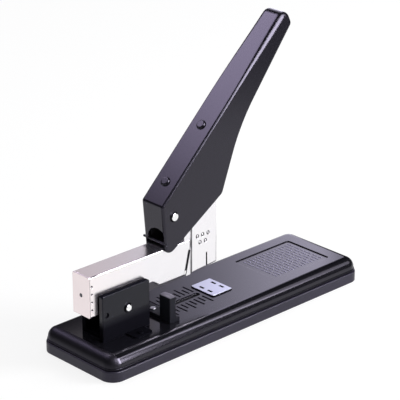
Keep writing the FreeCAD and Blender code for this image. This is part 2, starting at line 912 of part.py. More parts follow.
def head_housing():
    corners = [
        (head_rear, head_rear_bottom, head_foot_corner),
        (head_front, head_front_bottom, head_foot_corner),
        (head_front, head_top, head_corner),
        (head_crest_y, head_top, head_crest_corner),
        (head_rear, arm_top + head_shoulder_rise, head_crest_corner),
    ]
    solid = side_plate(corners, -head_outer, head_outer)
    front = [e for e in solid.Edges if e.BoundBox.YMin > head_front - 0.01 and e.BoundBox.ZLength > 20]
    solid = solid.makeFillet(head_bend, front)
    inside = box(-frame_outer, frame_outer, head_rear - past, head_inside_front, 0, head_top + over)
    head = solid.cut(inside)
    mouth = box(-frame_inner, frame_inner, 0, head_front + past, head_mouth, head_top + over)
    head = head.cut(mouth)
    slit = box(-over * 4, over * 4, slit_y - slit_width / 2, slit_y + slit_width / 2, 0, slit_top)
    head = head.cut(slit)
    for i in range(mark_count):
        row = i // mark_row_count
        y = mark_first_y + (i % mark_row_count) * mark_pitch + row * mark_pitch / 2
        z = mark_row_z - row * mark_row_drop
        ring = rod("x", mark_radius, head_outer - mark_depth, head_outer + past, y, z)
        head = head.cut(ring.cut(rod("x", mark_inner, 0, over * 4, y, z)))
    return head


def pivot_pin():
    start = -handle_half_width - clip_thickness - pivot_pin_proud
    pin = peened_pin(pivot_pin_radius, start, handle_half_width + pivot_pin_proud, pivot_y, pivot_z)
    groove_end = -handle_half_width - washer_gap + hole_gap / 2
    groove_start = groove_end - clip_thickness - hole_gap
    collar = rod("x", pivot_pin_radius + groove_collar, groove_start, groove_end, pivot_y, pivot_z)
    core = rod("x", clip_seat - hole_gap, groove_start - past, groove_end + past, pivot_y, pivot_z)
    return pin.cut(collar.cut(core))


def pivot_clip():
    """Spring clip in the groove at the far end of the pivot pin."""
    start = -handle_half_width - clip_thickness - washer_gap
    end = -handle_half_width - washer_gap
    clip = rod("x", pivot_pin_radius + clip_reach, start, end, pivot_y, pivot_z)
    clip = clip.cut(rod("x", clip_seat, start - past, end + past, pivot_y, pivot_z))
    low = pivot_z - clip_seat
    high = pivot_z + clip_seat
    return clip.cut(box(start - past, end + past, pivot_y, pivot_y + over * 2, low, high))


# Magazine pieces
def inverted_channel(half_width, sheet, y0, y1, z0, z1):
    outer = box(-half_width, half_width, y0, y1, z0, z1)
    outer = fillet(outer, channel_edge, lambda e: e.BoundBox.ZMin > z1 - 0.01 and e.BoundBox.YLength > 1)
    half_inside = half_width - sheet
    return outer.cut(box(-half_inside, half_inside, y0 - past, y1 + past, z0 - past, z1 - sheet))


def magazine_channel():
    rear = hinge_y + hinge_lug_radius + channel_start
    return inverted_channel(frame_inner, channel_sheet, rear, rail_front, channel_bottom, channel_top)


def staple_rail():
    rear = arm_rear + arm_sheet
    rail = inverted_channel(rail_half_width, rail_sheet, rear, rail_front, rail_bottom, rail_top)
    return rail.cut(rod("x", rail_pin_radius + hole_gap, -over * 4, over * 4, rail_pin_y, rail_pin_z))


def rail_pin():
    end = frame_outer - arm_sheet
    return rod("x", rail_pin_radius, -end, end, rail_pin_y, rail_pin_z)


def staple_strip():
    legs_end = strip_top - staple_leg
    return inverted_channel(strip_outer, staple_wire, strip_rear, rail_front, legs_end, strip_top)


def guide_rod():
    return rod("y", guide_rod_radius, arm_rear, rail_front - rod_end_gap, 0, guide_rod_z)


def rod_stop():
    """Tab inside the rail's front end that the guide rod is riveted into."""
    half = rail_half_width - rail_sheet
    front = rail_front - rod_stop_gap
    low = rail_bottom + rod_stop_rise
    tab = box(-half, half, front - rod_stop_sheet, front, low, rail_top - rail_sheet)
    return tab.cut(rod("y", guide_rod_radius + hole_gap, front - over, front + past, 0, guide_rod_z))


def staple_pusher():
    low = rail_bottom - touch - pusher_floor
    side = box(rail_half_width + slide_gap, strip_outer, pusher_rear, pusher_front, low, strip_top)
    roof = box(-strip_outer, strip_outer, pusher_rear, pusher_front, rail_top + slide_gap, strip_top)
    floor = box(-strip_outer, strip_outer, pusher_rear, pusher_front, low, low + pusher_floor)
    core_half = rail_half_width - rail_sheet - slide_gap
    core = box(-core_half, core_half, pusher_rear, pusher_front, low, rail_top - rail_sheet - touch)
    pusher = join([side, mirrored(side), roof, floor, core])
    bore = rod("y", guide_rod_radius + slide_gap, pusher_rear - past, pusher_front + past, 0, guide_rod_z)
    return pusher.cut(bore)


def pusher_spring():
    length = pusher_rear - (arm_rear + arm_sheet)
    spring = coil_spring(pusher_coil_radius, pusher_wire, pusher_turns, length)
    spring.rotate(V(0, 0, 0), V(1, 0, 0), -90)
    spring.translate(V(0, arm_rear + arm_sheet, guide_rod_z))
    return spring


# Handle pieces
def face_prism(half, tip_half):
    """A block square to the closed face. Its sides draw in from half to tip_half towards the tip."""
    reach = face_length + over * 4
    end_half = half - (half - tip_half) * (reach - taper_run) / (face_length - taper_run)
    corners = [
        (-bend_z, -half, 0),
        (taper_run, -half, taper_curve),
        (reach, -end_half, 0),
        (reach, end_half, 0),
        (taper_run, half, taper_curve),
        (-bend_z, half, 0),
    ]

    def place(p):
        point = on_face(p.x, -over)
        return V(p.y, point.x, point.y)

    deep = V(0, face_normal.x, face_normal.y) * (bend_z + over * 8)
    return Part.Face(rounded_wire(corners, place)).extrude(deep)


def fold_corners(inset):
    """Side outline of the folded sheet's closed side, heel to tip, drawn in by inset and open below."""
    below = bend_z
    heel_line = V(nose_y - bend_y, nose_z - bend_z, 0).normalize()
    tip_line = (on_face(tip_run, tip_depth) - on_face(face_length, 0)).normalize()
    half_bend = heel_line.getAngle(face_line) / 2
    half_tip = tip_line.getAngle(face_line * -1) / 2
    bend_in = bend + (heel_line + face_line).normalize() * (inset / math.sin(half_bend))
    tip_in = on_face(face_length, 0) + (tip_line - face_line).normalize() * (inset / math.sin(half_tip))
    heel_low = bend_in + heel_line * below
    tip_low = tip_in + tip_line * below
    return [
        (heel_low.x, heel_low.y, 0),
        (bend_in.x, bend_in.y, bend_corner - inset),
        (tip_in.x, tip_in.y, tip_corner - inset),
        (tip_low.x, tip_low.y, 0),
    ]


def fold_block(inset):
    """The closed side as a block whose long edges are rounded, more and more towards the tip."""
    half = handle_half_width - inset
    corners = fold_corners(inset)
    outline = rounded_wire(corners, lambda p: V(0, p.x, p.y))
    closed_side = Part.Compound(outline.Edges[:-1])
    block = side_plate(corners, -half - past, half + past).common(face_prism(half, tip_half_width - inset))
    radius = handle_edge - inset * fold_share
    tip_radius = tip_edge - inset
    taper_end = taper_run + taper_curve * (handle_half_width - tip_half_width) / (face_length - taper_run)
    chosen = []
    for i, edge in enumerate(block.Edges):
        middle = edge.valueAt((edge.FirstParameter + edge.LastParameter) / 2)
        flat = V(0, middle.y, middle.z)
        if edge.BoundBox.XLength > half or closed_side.distToShape(Part.Vertex(flat))[0] > 0.01:
            continue
        run = (V(middle.y, middle.z, 0) - bend).dot(face_line)
        start = radius if run < face_length * 0.85 else tip_radius
        end = radius if run < taper_end else tip_radius
        chosen.append((i + 1, start, end))
    return varied_fillet(block, chosen)


def varied_fillet(shape, radii):
    """Rounds numbered edges, each with its own radius at its start and at its end."""
    document = FreeCAD.newDocument("rounding")
    plain = document.addObject("Part::Feature", "Plain")
    plain.Shape = shape
    rounded = document.addObject("Part::Fillet", "Rounded")
    rounded.Base = plain
    rounded.Edges = radii
    document.recompute()
    result = rounded.Shape.copy()
    FreeCAD.closeDocument(document.Name)
    return result


def cheek_outline():
    """Side outline of the handle's cheeks, seen square on."""
    waist = on_face(waist_run, waist_depth)
    tip_low = on_face(tip_run, tip_depth)
    tip_top = on_face(face_length + over, -over)
    above = bend + V(-over * 2, over, 0)
    return [
        (nose_y, nose_z, nose_corner),
        (throat_y, throat_z, throat_corner),
        (waist.x, waist.y, waist_corner),
        (tip_low.x, tip_low.y, tip_corner),
        (tip_top.x, tip_top.y, 0),
        (above.x, above.y, 0),
    ]


def handle_shell():
    cheeks = side_plate(cheek_outline(), -handle_half_width - past, handle_half_width + past)
    shell = fold_block(0).common(cheeks).cut(fold_block(handle_sheet))
    behind = bend_y - over
    ahead = nose_y + handle_sheet + 1
    foot = box(-cheek_inner, cheek_inner, behind, ahead, nose_z - over, heel_foot)
    arch = rod("y", arch_radius, behind, ahead, arch_x, heel_foot).common(
        box(-cheek_inner, cheek_inner, behind, ahead, heel_foot - 1, heel_foot + over * 4)
    )
    shell = shell.cut(foot).cut(arch)
    shell = shell.cut(rod("x", pivot_pin_radius + run_gap, -over * 4, over * 4, pivot_y, pivot_z))
    start = handle_half_width - pivot_ring_depth
    shell = shell.cut(rod("x", pivot_ring_radius, start, handle_half_width + past, pivot_y, pivot_z))
    shell = shell.cut(rod("x", heel_rod_radius + hole_gap, -over * 4, over * 4, heel_rod_y, heel_rod_z))
    for run in button_runs:
        shell = shell.cut(face_bar(run, button_shank + hole_gap, -over, over))
    return shell


def face_bar(run, radius, depth0, depth1):
    """A round bar square to the closed face, from one depth below it to another."""
    start = on_face(run, depth0)
    line = V(0, face_normal.x, face_normal.y)
    return Part.makeCylinder(radius, depth1 - depth0, V(0, start.x, start.y), line)


def handle_rivets():
    rivets = []
    line = V(0, -face_normal.x, -face_normal.y)
    grip = handle_sheet + press_sheet
    for run in button_runs:
        start = on_face(run, 0)
        base = V(0, start.x, start.y)
        rivets.append(
            rivet(base, line, button_radius, button_height, button_shank, grip, button_flare, button_foot)
        )
    return Part.makeCompound(rivets)


def press_outline(drop):
    """Side outline of the press bracket. The drop takes its top edge further below the closed face."""
    rear = on_face(press_run_rear, handle_sheet + drop)
    front = on_face(press_run_front, handle_sheet + drop)
    front_low = on_face(press_run_front, handle_sheet + press_front_depth)
    return [
        (rear.x, rear.y, 0),
        (pivot_y - press_boss, pivot_z - press_boss * 0.6, 5.0),
        (pivot_y - 1, pivot_z - press_boss, 5.0),
        (press_y - 3, press_z - press_lobe, 4.0),
        (press_y + press_lobe, press_z - press_lobe, 5.0),
        (press_y + press_lobe + 1, press_z + 4, 6.0),
        (front_low.x, front_low.y, 3.0),
        (front.x, front.y, 0),
    ]


def press_bracket():
    solid = side_plate(press_outline(0), -press_outer, press_outer)
    rear = on_face(press_run_rear - 5, handle_sheet + press_sheet)
    front = on_face(press_run_front + 5, handle_sheet + press_sheet)
    below = on_face(press_run_front, 90)
    behind = on_face(press_run_rear - 5, 60)
    hollow = side_plate(
        [(rear.x, rear.y, 0), (behind.x, behind.y, 0), (below.x, below.y, 0), (front.x, front.y, 0)],
        -press_inner,
        press_inner,
    )
    bracket = solid.cut(hollow)
    bracket = bracket.cut(rod("x", pivot_pin_radius + run_gap, -over * 4, over * 4, pivot_y, pivot_z))
    spindle = press_pin_radius - press_spindle_step
    bracket = bracket.cut(rod("x", spindle + hole_gap, -over * 4, over * 4, press_y, press_z))
    for run in button_runs:
        bracket = bracket.cut(face_bar(run, button_shank + hole_gap, -over, over))
    return bracket


def press_pin():
    half = press_inner - press_side_play
    barrel = rod("x", press_pin_radius, -half, half, press_y, press_z)
    spindle = rod("x", press_pin_radius - press_spindle_step, -press_outer, press_outer, press_y, press_z)
    return join([barrel, spindle])


def heel_rod():
    start = -handle_half_width - heel_rod_proud
    return rod("x", heel_rod_radius, start, handle_half_width, heel_rod_y, heel_rod_z)


# Ram pieces
def driver_ram():
    body = box(-ram_half_width, ram_half_width, ram_rear, ram_front, ram_bottom, ram_body_top)
    half = ram_neck_half_width
    neck_rear = ram_rear - ram_neck_back
    neck_front = ram_front - ram_neck_gap
    neck = box(-half, half, neck_rear, neck_front, ram_body_top, ram_top)
    keel = box(-half, half, neck_rear, neck_front, ram_body_top - ram_keel, ram_body_top)
    ram = join([body, neck, keel])
    bore_radius = ram_coil_radius + ram_wire / 2 + touch
    bore = rod("z", bore_radius, ram_bottom - past, ram_spring_top(), 0, ram_spring_y)
    for z in rivet_heights():
        start = ram_front - blade_rivet_depth - rivet_end_gap
        ram = ram.cut(rod("y", blade_rivet_radius + hole_gap, start, ram_front + past, 0, z))
    return ram.cut(bore)


def ram_spring_top():
    return ram_top - ram_roof


def ram_spring():
    spring = coil_spring(ram_coil_radius, ram_wire, ram_turns, ram_spring_top() - channel_top)
    spring.translate(V(0, ram_spring_y, channel_top))
    return spring


def rivet_heights():
    return (ram_bottom + blade_rivet_inset, ram_body_top - blade_rivet_inset)


def driver_blade():
    half = strip_outer - hole_gap
    blade = box(-half, half, blade_rear, blade_front, blade_bottom, ram_body_top)
    for z in rivet_heights():
        hole = rod("y", blade_rivet_radius + hole_gap, blade_rear - past, blade_front + past, 0, z)
        blade = blade.cut(hole)
    return blade


def blade_rivets():
    start = ram_front - blade_rivet_depth
    rivets = [rod("y", blade_rivet_radius, start, blade_front, 0, z) for z in rivet_heights()]
    return Part.makeCompound(rivets)


PIECES = {
    "base_mat": base_mat,
    "base_cover": base_cover,
    "bed_plate": bed_plate,
    "anvil_plate": anvil_plate,
    "hinge_bracket": hinge_bracket,
    "bracket_rivets": bracket_rivets,
    "hinge_pin": hinge_pin,
    "hinge_washers": hinge_washers,
    "base_screws": base_screws,
    "lift_spring": lift_spring,
    "paper_guide": paper_guide,
    "guide_rivet": guide_rivet,
    "guide_washer": guide_washer,
    "body_cover": body_cover,
    "tail_cap": tail_cap,
    "frame_plate_near": frame_plate,
    "frame_plate_far": lambda: mirrored(frame_plate()),
    "hinge_sleeve": hinge_sleeve,
    "spring_seat": spring_seat,
    "head_housing": head_housing,
    "pivot_pin": pivot_pin,
    "pivot_clip": pivot_clip,
    "magazine_channel": magazine_channel,
    "staple_rail": staple_rail,
    "rail_pin": rail_pin,
    "staple_strip": staple_strip,
    "guide_rod": guide_rod,
    "rod_stop": rod_stop,
    "staple_pusher": staple_pusher,
    "pusher_spring": pusher_spring,
    "handle_shell": handle_shell,
    "handle_rivets": handle_rivets,
    "press_bracket": press_bracket,
    "press_pin": press_pin,
    "heel_rod": heel_rod,
    "driver_ram": driver_ram,
    "driver_blade": driver_blade,
    "blade_rivets": blade_rivets,
    "ram_spring": ram_spring,
}

os.makedirs("parts", exist_ok=True)
for name, make in PIECES.items():
    piece = make()
    print(name, "solids", len(piece.Solids), "valid", piece.isValid(), "volume", round(piece.Volume, 1))
    piece.exportStep(os.path.join("parts", name + ".step"))
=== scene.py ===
"""Looks of the heavy-duty stapler: enamel, chrome, plated steel and moulded finishes."""
import math

import bmesh
import bpy
from bpy.props import FloatProperty, FloatVectorProperty, IntProperty, PointerProperty
from mathutils import Matrix, Vector


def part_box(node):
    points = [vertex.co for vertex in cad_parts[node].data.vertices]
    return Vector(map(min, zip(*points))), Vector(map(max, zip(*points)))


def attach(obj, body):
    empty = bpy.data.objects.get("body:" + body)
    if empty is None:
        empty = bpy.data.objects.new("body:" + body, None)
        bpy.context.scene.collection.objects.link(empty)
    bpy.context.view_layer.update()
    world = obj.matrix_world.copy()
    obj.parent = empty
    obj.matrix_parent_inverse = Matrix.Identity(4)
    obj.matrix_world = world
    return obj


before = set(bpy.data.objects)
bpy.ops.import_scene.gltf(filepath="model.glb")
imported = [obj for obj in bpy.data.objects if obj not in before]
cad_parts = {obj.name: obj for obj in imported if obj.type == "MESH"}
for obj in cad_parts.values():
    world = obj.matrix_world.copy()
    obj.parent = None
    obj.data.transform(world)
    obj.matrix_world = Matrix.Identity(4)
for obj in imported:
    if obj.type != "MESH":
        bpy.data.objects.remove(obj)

bl_info = {
    "name": "Heavy-Duty Stapler Finishes",
    "version": (1, 0, 0),
    "blender": (4, 5, 0),
    "location": "View3D > Sidebar > Stapler",
    "description": "Dresses the stapler's solids in enamel, chrome and plated steel",
    "category": "Object",
}

# Colours of lights, of painted shade in hollows, seams and dents, and the cool gloss of enamel
WHITE = (1, 1, 1, 1)
BLACK = (0.012, 0.0115, 0.015, 1)
BRACKET_BLACK = (0.004, 0.004, 0.006, 1)
COOL_GLOSS = (0.87, 0.83, 1.0, 1)

# Grain of a metal as noise cycles per metre along x, y and z, few along the way it was worked
ROLLED_LENGTHWISE = (900, 14, 900)
ROLLED_UPRIGHT = (900, 900, 14)
GROUND_UPRIGHT = (900, 900, 30)
DRAWN_LENGTHWISE = (900, 10, 900)
DRAWN_CROSSWISE = (10, 900, 900)
DRAWN_WIRE = (600, 600, 600)
TUMBLED = (700, 700, 700)

# How much rougher a dark hollow is than the finish round it
HOLLOW_ROUGHNESS = 0.6

# Point that the lamp and the cards face, in metres
MIDDLE = (0, 0, 0.08)

# The camera's far clip in metres and its sensor's width in millimetres
FAR_CLIP = 20
SENSOR_WIDTH = 36


# Kinds of property


def colour(name, description, default):
    return FloatVectorProperty(
        name=name, description=description, default=default, subtype="COLOR", size=4, min=0, max=1
    )


def length(name, description, default):
    return FloatProperty(
        name=name, description=description, default=default, unit="LENGTH", min=0, precision=5
    )


def fraction(name, description, default):
    return FloatProperty(
        name=name, description=description, default=default, subtype="FACTOR", min=0, max=1
    )


def strength(name, description, default, top, unit="NONE"):
    return FloatProperty(name=name, description=description, default=default, unit=unit, min=0, max=top)


def angle(name, description, degrees):
    return FloatProperty(
        name=name, description=description, default=math.radians(degrees), subtype="ANGLE"
    )


# Sizes and colours that a user may change


class StaplerEnamel(bpy.types.PropertyGroup):
    """Colours and gloss of the enamel and the skirt"""

    base_colour: colour("Base enamel", "Black enamel of the pressed base cover", (0.007, 0.0068, 0.0095, 1))
    handle_colour: colour("Handle enamel", "Black enamel of the folded handle", (0.010, 0.009, 0.014, 1))
    bracket_colour: colour("Bracket enamel", "Enamel of the bracket and guide", (0.007, 0.008, 0.011, 1))
    skirt_colour: colour("Skirt", "Moulded skirt under the base cover", (0.012, 0.010, 0.021, 1))
    skirt_cloud: colour("Skirt's cloud", "Paler patches of the moulded skirt", (0.028, 0.024, 0.046, 1))
    # Also the colour of the painted highlight along the paper guide's top.
    worn_and_lit_colour: colour("Worn edge", "Enamel where folds have rubbed thin", (0.08, 0.076, 0.095, 1))
    mark_colour: colour("Panel marks", "Raised marks in the sunk panel", (0.30, 0.285, 0.42, 1))
    base_roughness: fraction("Base roughness", "Roughness of the base enamel", 0.13)
    handle_roughness: fraction("Handle roughness", "Roughness of the handle enamel", 0.20)
    bracket_roughness: fraction("Bracket roughness", "Roughness of the bracket enamel", 0.14)
    guide_roughness: fraction("Guide roughness", "Roughness of the paper guide's enamel", 0.5)
    mark_roughness: fraction("Mark roughness", "Roughness of the panel marks", 0.5)
    rod_roughness: fraction("Rod roughness", "Roughness of the heel rod's enamel", 0.4)
    peel: length("Orange peel", "Height of the enamel's orange peel", 0.000012)
    fold_round: length("Fold rounding", "Radius that softens sheet edges", 0.0002)
    tip_round: length("Tip rounding", "Radius that softens the handle's edges at its tip", 0.0024)


class StaplerMetal(bpy.types.PropertyGroup):
    """Colours and gloss of the bright metal"""

    chrome_colour: colour("Chrome", "Bright chromed sheet", (0.95, 0.935, 0.955, 1))
    # Painted reflection: the chrome's warm tint towards the tail.
    warm_reflection_colour: colour("Warm chrome", "Chromed sheet's warmer shade towards the tail", (0.96, 0.90, 0.90, 1))
    # Painted reflection: the tail cap's pinker tint of the same chrome.
    tail_reflection_colour: colour("Tail chrome", "Chromed tail cap", (0.90, 0.80, 0.81, 1))
    plated_colour: colour("Plated steel", "Zinc plated steel inside the arm", (0.50, 0.50, 0.52, 1))
    plate_colour: colour("Anvil plating", "Pale plating of the anvil", (0.52, 0.54, 0.62, 1))
    pin_colour: colour("Pin steel", "Bright turned pins", (0.95, 0.95, 0.95, 1))
    spring_colour: colour("Spring wire", "Drawn spring wire", (0.32, 0.32, 0.34, 1))
    dark_colour: colour("Dark steel", "Steel of the magazine channel and its rod", (0.10, 0.10, 0.11, 1))
    wire_colour: colour("Staple wire", "Crests of the staple wires", (0.75, 0.75, 0.77, 1))
    # Painted shade in the grooves between the staple wires.
    groove_shade_colour: colour("Staple gap", "Grooves between the staple wires", (0.35, 0.35, 0.37, 1))
    chrome_roughness: fraction("Chrome roughness", "Roughness of the chromed sheet", 0.24)
    plated_roughness: fraction("Plated roughness", "Roughness of the plated steel", 0.34)
    anvil_roughness: fraction("Anvil roughness", "Roughness of the anvil's plating", 0.30)
    bed_roughness: fraction("Bed roughness", "Roughness of the bed plate", 0.45)
    channel_roughness: fraction("Channel roughness", "Roughness of the magazine channel and its rod", 0.35)
    pin_roughness: fraction("Pin roughness", "Roughness of the bright turned pins", 0.2)
    rivet_roughness: fraction("Rivet roughness", "Roughness of the guide's rivet", 0.35)
    rod_roughness: fraction("Rod roughness", "Roughness of the drawn rods", 0.25)
    ram_roughness: fraction("Ram roughness", "Roughness of the ground ram and blade", 0.28)
    spring_roughness: fraction("Spring roughness", "Roughness of the spring wire", 0.3)
    grain: length("Rolling grain", "Height of the sheet's rolling grain", 0.000004)
    wire_height: length("Wire height", "Height of a staple wire over its groove", 0.00012)


class StaplerMarks(bpy.types.PropertyGroup):
    """Sizes of the raised marks in the sunk panel"""

    rows: IntProperty(name="Rows", description="Rows of marks in the sunk panel", default=15, min=1, max=40)
    row_pitch: length("Row pitch", "Distance between rows of marks", 0.0037)
    mark_width: length("Mark width", "Width of a raised mark", 0.0010)
    mark_height: length("Mark height", "Height of a raised mark", 0.00030)
    margin: length("Margin", "Bare edge of the sunk panel", 0.0042)


class StaplerStage(bpy.types.PropertyGroup):
    """Camera, room and lights"""

    azimuth: angle("Azimuth", "Camera's turn about the stapler", 46.39)
    elevation: angle("Elevation", "Camera's height angle", 22.63)
    distance: length("Distance", "Camera's distance from its target", 1.5559)
    target: FloatVectorProperty(
        name="Target",
        description="Point that the camera looks at",
        default=(-0.00626, -0.001, 0.09529),
        unit="LENGTH",
        precision=5,
    )
    lens: FloatProperty(
        name="Lens", description="Focal length on a 36 mm sensor", default=180.0, unit="CAMERA"
    )
    floor_colour: colour("Floor", "Pale floor", (0.92, 0.92, 0.93, 1))
    room_light: strength("Room light", "Strength of the room's even light", 0.62, 4)
    mirrored_room: strength("Mirrored room", "Strength of the room in reflections", 0.05, 4)
    bright_reach: length("Bright floor", "Distance to which mirrored views of the floor stay white", 0.44)
    key_power: strength("Key lamp", "Power of the soft lamp at the camera's right", 13.0, 50, "POWER")
    key_level: strength("Key card", "Level of the card that the base's near shoulder mirrors", 14.0, 50)
    side_level: strength("Side card", "Level of the tall card beside the handle", 20.0, 50)


GROUPS = {
    "stapler_enamel": StaplerEnamel,
    "stapler_metal": StaplerMetal,
    "stapler_marks": StaplerMarks,
    "stapler_stage": StaplerStage,
}


# Shader nodes


class Channel:
    """A socket whose arithmetic adds Math nodes. A comparison gives a mask, and | joins two masks."""

    def __init__(self, nodes, socket):
        self.nodes = nodes
        self.socket = socket

    def maths(self, operation, *values):
        return self.nodes.add("ShaderNodeMath", {"operation": operation}, dict(enumerate(values)))

    def __add__(self, other):
        return self.maths("ADD", self, other)

    def __sub__(self, other):
        return self.maths("SUBTRACT", self, other)

    def __rsub__(self, other):
        return self.maths("SUBTRACT", other, self)

    def __mul__(self, other):
        return self.maths("MULTIPLY", self, other)

    def __or__(self, other):
        return self.maths("MAXIMUM", self, other)

    def __lt__(self, other):
        return self.maths("LESS_THAN", self, other)

    def __gt__(self, other):
        return self.maths("GREATER_THAN", self, other)

    def __abs__(self):
        return self.maths("ABSOLUTE", self)

    __radd__ = __add__
    __rmul__ = __mul__
    __ror__ = __or__

    def between(self, low, high):
        return (self < high) * (self > low)

    def clamped(self):
        return self.nodes.add("ShaderNodeClamp", {}, {"Value": self})

    def graded(self, low, high, first, last):
        """Goes from first to last while this value goes from low to high, and stays level beyond."""
        ends = {"From Min": low, "From Max": high, "To Min": first, "To Max": last}
        return self.nodes.add("ShaderNodeMapRange", {}, {"Value": self, **ends})


class Nodes:
    """A node tree being built. Each new node comes from add."""

    def __init__(self, tree):
        self.tree = tree

    def add(self, kind, settings=None, inputs=None, output=0):
        """Adds a node with its settings, then the values or links of its sockets, and gives one output."""
        node = self.tree.nodes.new(kind)
        for key, value in (settings or {}).items():
            if key == "stops":
                set_stops(node.color_ramp.elements, value)
            else:
                setattr(node, key, value)
        for key, value in (inputs or {}).items():
            self.plug(value, node.inputs[key])
        return Channel(self, node.outputs[output])

    def plug(self, value, socket):
        """Links a channel to a socket, or sets the socket to a plain value."""
        if isinstance(value, Channel):
            self.tree.links.new(value.socket, socket)
        else:
            socket.default_value = value

    def show(self, surface):
        """Sends a shader to the tree's output."""
        for node in self.tree.nodes:
            if node.type in ("OUTPUT_MATERIAL", "OUTPUT_WORLD"):
                self.plug(surface, node.inputs["Surface"])


def set_stops(elements, stops):
    """Gives a ramp its grey stops of (position, level), between 0 and 1."""
    while len(elements) < len(stops):
        elements.new(0.5)
    for element, (position, level) in zip(elements, stops):
        element.position = position
        element.color = (level, level, level, 1)


class Finish(Nodes):
    """A material being built round its Principled shader."""

    def __init__(self, name, **values):
        self.material = bpy.data.materials.new(name)
        self.material.use_nodes = True
        super().__init__(self.material.node_tree)
        self.shader = self.tree.nodes["Principled BSDF"]
        self.feed(**values)

    def feed(self, **values):
        """Sets or links the shader's sockets."""
        for name, value in values.items():
            self.plug(value, self.shader.inputs[name.replace("_", " ")])

    def place(self):
        return self.add("ShaderNodeTexCoord", output="Object")

    def along(self, axis):
        return self.add("ShaderNodeSeparateXYZ", {}, {0: self.place()}, output=axis)

    def noise(self, per_metre, detail, where=None):
        inputs = {"Vector": where or self.place(), "Scale": per_metre, "Detail": detail}
        return self.add("ShaderNodeTexNoise", {}, inputs)

    def grain(self, per_metre):
        """Noise with its own number of cycles per metre along x, y and z."""
        stretched = self.add("ShaderNodeMapping", {}, {"Vector": self.place(), "Scale": per_metre})
        return self.noise(1.0, 3, stretched)

    def mixed(self, factor, first, second):
        """Mixes two colours. Sockets 6 and 7 and output 2 are the ones for colours."""
        return self.add("ShaderNodeMix", {"data_type": "RGBA"}, {0: factor, 6: first, 7: second}, output=2)

    def rounded(self, radius):
        return self.add("ShaderNodeBevel", {"samples": 6}, {"Radius": radius})

    def dot(self, first, second):
        settings = {"operation": "DOT_PRODUCT"}
        return self.add("ShaderNodeVectorMath", settings, {0: first, 1: second}, output="Value")

    def hollows(self, reach, start=0.9, gain=4.0):
        """Mask for painted shade: high in slits, dents and seams, where the open sky is narrow within reach.
        """
        open_sky = self.add("ShaderNodeAmbientOcclusion", {"samples": 8}, {"Distance": reach}, output="AO")
        return ((start - open_sky) * gain).clamped()

    def edges(self, rounded, gain):
        """High where the rounded normal leaves the true one, at folds and rims."""
        true_normal = self.add("ShaderNodeNewGeometry", output="True Normal")
        return ((1 - self.dot(rounded, true_normal)) * gain).clamped()

    def bumped(self, height, distance, **normal):
        return self.add("ShaderNodeBump", {}, {"Height": height, "Distance": distance, **normal})


# Finishes


def dimmed(tint, level):
    """The tint at a share of its level."""
    return tuple(level * c for c in tint[:3]) + (1,)


def enamel(
    name,
    tint,
    roughness,
    wear=0.35,
    gloss=0.43,
    facing=1.0,
    black=BLACK,
    sunk=None,
    blurred=None,
    highlight_top=None,
    round_by=None,
):
    """Sprayed enamel with orange peel, cloudy gloss and folds worn a little lighter. Hollows are painted
    black as painted shade.

    facing scales the tint of the gloss. sunk, blurred and round_by are functions that give the mask of
    further places painted black as shade, the mask of rougher ones and the radius of the folds. A given top
    height adds a painted highlight in a thin band along the top.
    """
    looks = bpy.context.scene.stapler_enamel
    cloud_spread = 0.06
    grit_spread = 0.02
    noise_offset = 0.04
    highlight_depth = 0.0007
    finish = Finish(name, Specular_IOR_Level=gloss, Specular_Tint=dimmed(COOL_GLOSS, facing))
    soft = finish.rounded(round_by(finish) if round_by else looks.fold_round)
    wear_and_highlight = finish.edges(soft, gain=2.2) * (finish.noise(per_metre=260, detail=3) * wear)
    # Painted highlight: a thin band along the top joins the worn folds in the lighter colour.
    if highlight_top is not None:
        wear_and_highlight = wear_and_highlight + (finish.along("Z") > highlight_top - highlight_depth)
    cloudy = finish.noise(per_metre=38, detail=3)
    grit = finish.noise(per_metre=1500, detail=2)
    peel = finish.noise(per_metre=950, detail=1.5)
    # Painted shade: hollows and the further masked places turn the enamel black and metallic.
    dark = finish.hollows(reach=0.0025, start=0.7, gain=3.0)
    if sunk:
        dark = dark | sunk(finish)
    blur = blurred(finish, dark) if blurred else dark
    base_roughness = cloudy * cloud_spread + (roughness - noise_offset)
    finish.feed(
        Base_Color=finish.mixed(dark, finish.mixed(wear_and_highlight.clamped(), tint, looks.worn_and_lit_colour), black),
        Metallic=dark,
        Roughness=base_roughness + grit * grit_spread + blur * HOLLOW_ROUGHNESS,
        Normal=finish.bumped(peel, looks.peel, Normal=soft),
    )
    return finish.material


def skirt_finish():
    """Moulded skirt with a fine spark-eroded grain."""
    looks = bpy.context.scene.stapler_enamel
    least_roughness = 0.36
    roughness_spread = 0.14
    grain_height = 0.00001
    finish = Finish("moulded_skirt", Specular_IOR_Level=0.28)
    soft = finish.rounded(looks.fold_round)
    grain = finish.noise(per_metre=2600, detail=3)
    cloud = finish.noise(per_metre=60, detail=3)
    shine = finish.noise(per_metre=45, detail=3)
    finish.feed(
        Base_Color=finish.mixed(cloud, looks.skirt_colour, looks.skirt_cloud),
        Roughness=shine * roughness_spread + least_roughness,
        Normal=finish.bumped(grain, grain_height, Normal=soft),
    )
    return finish.material


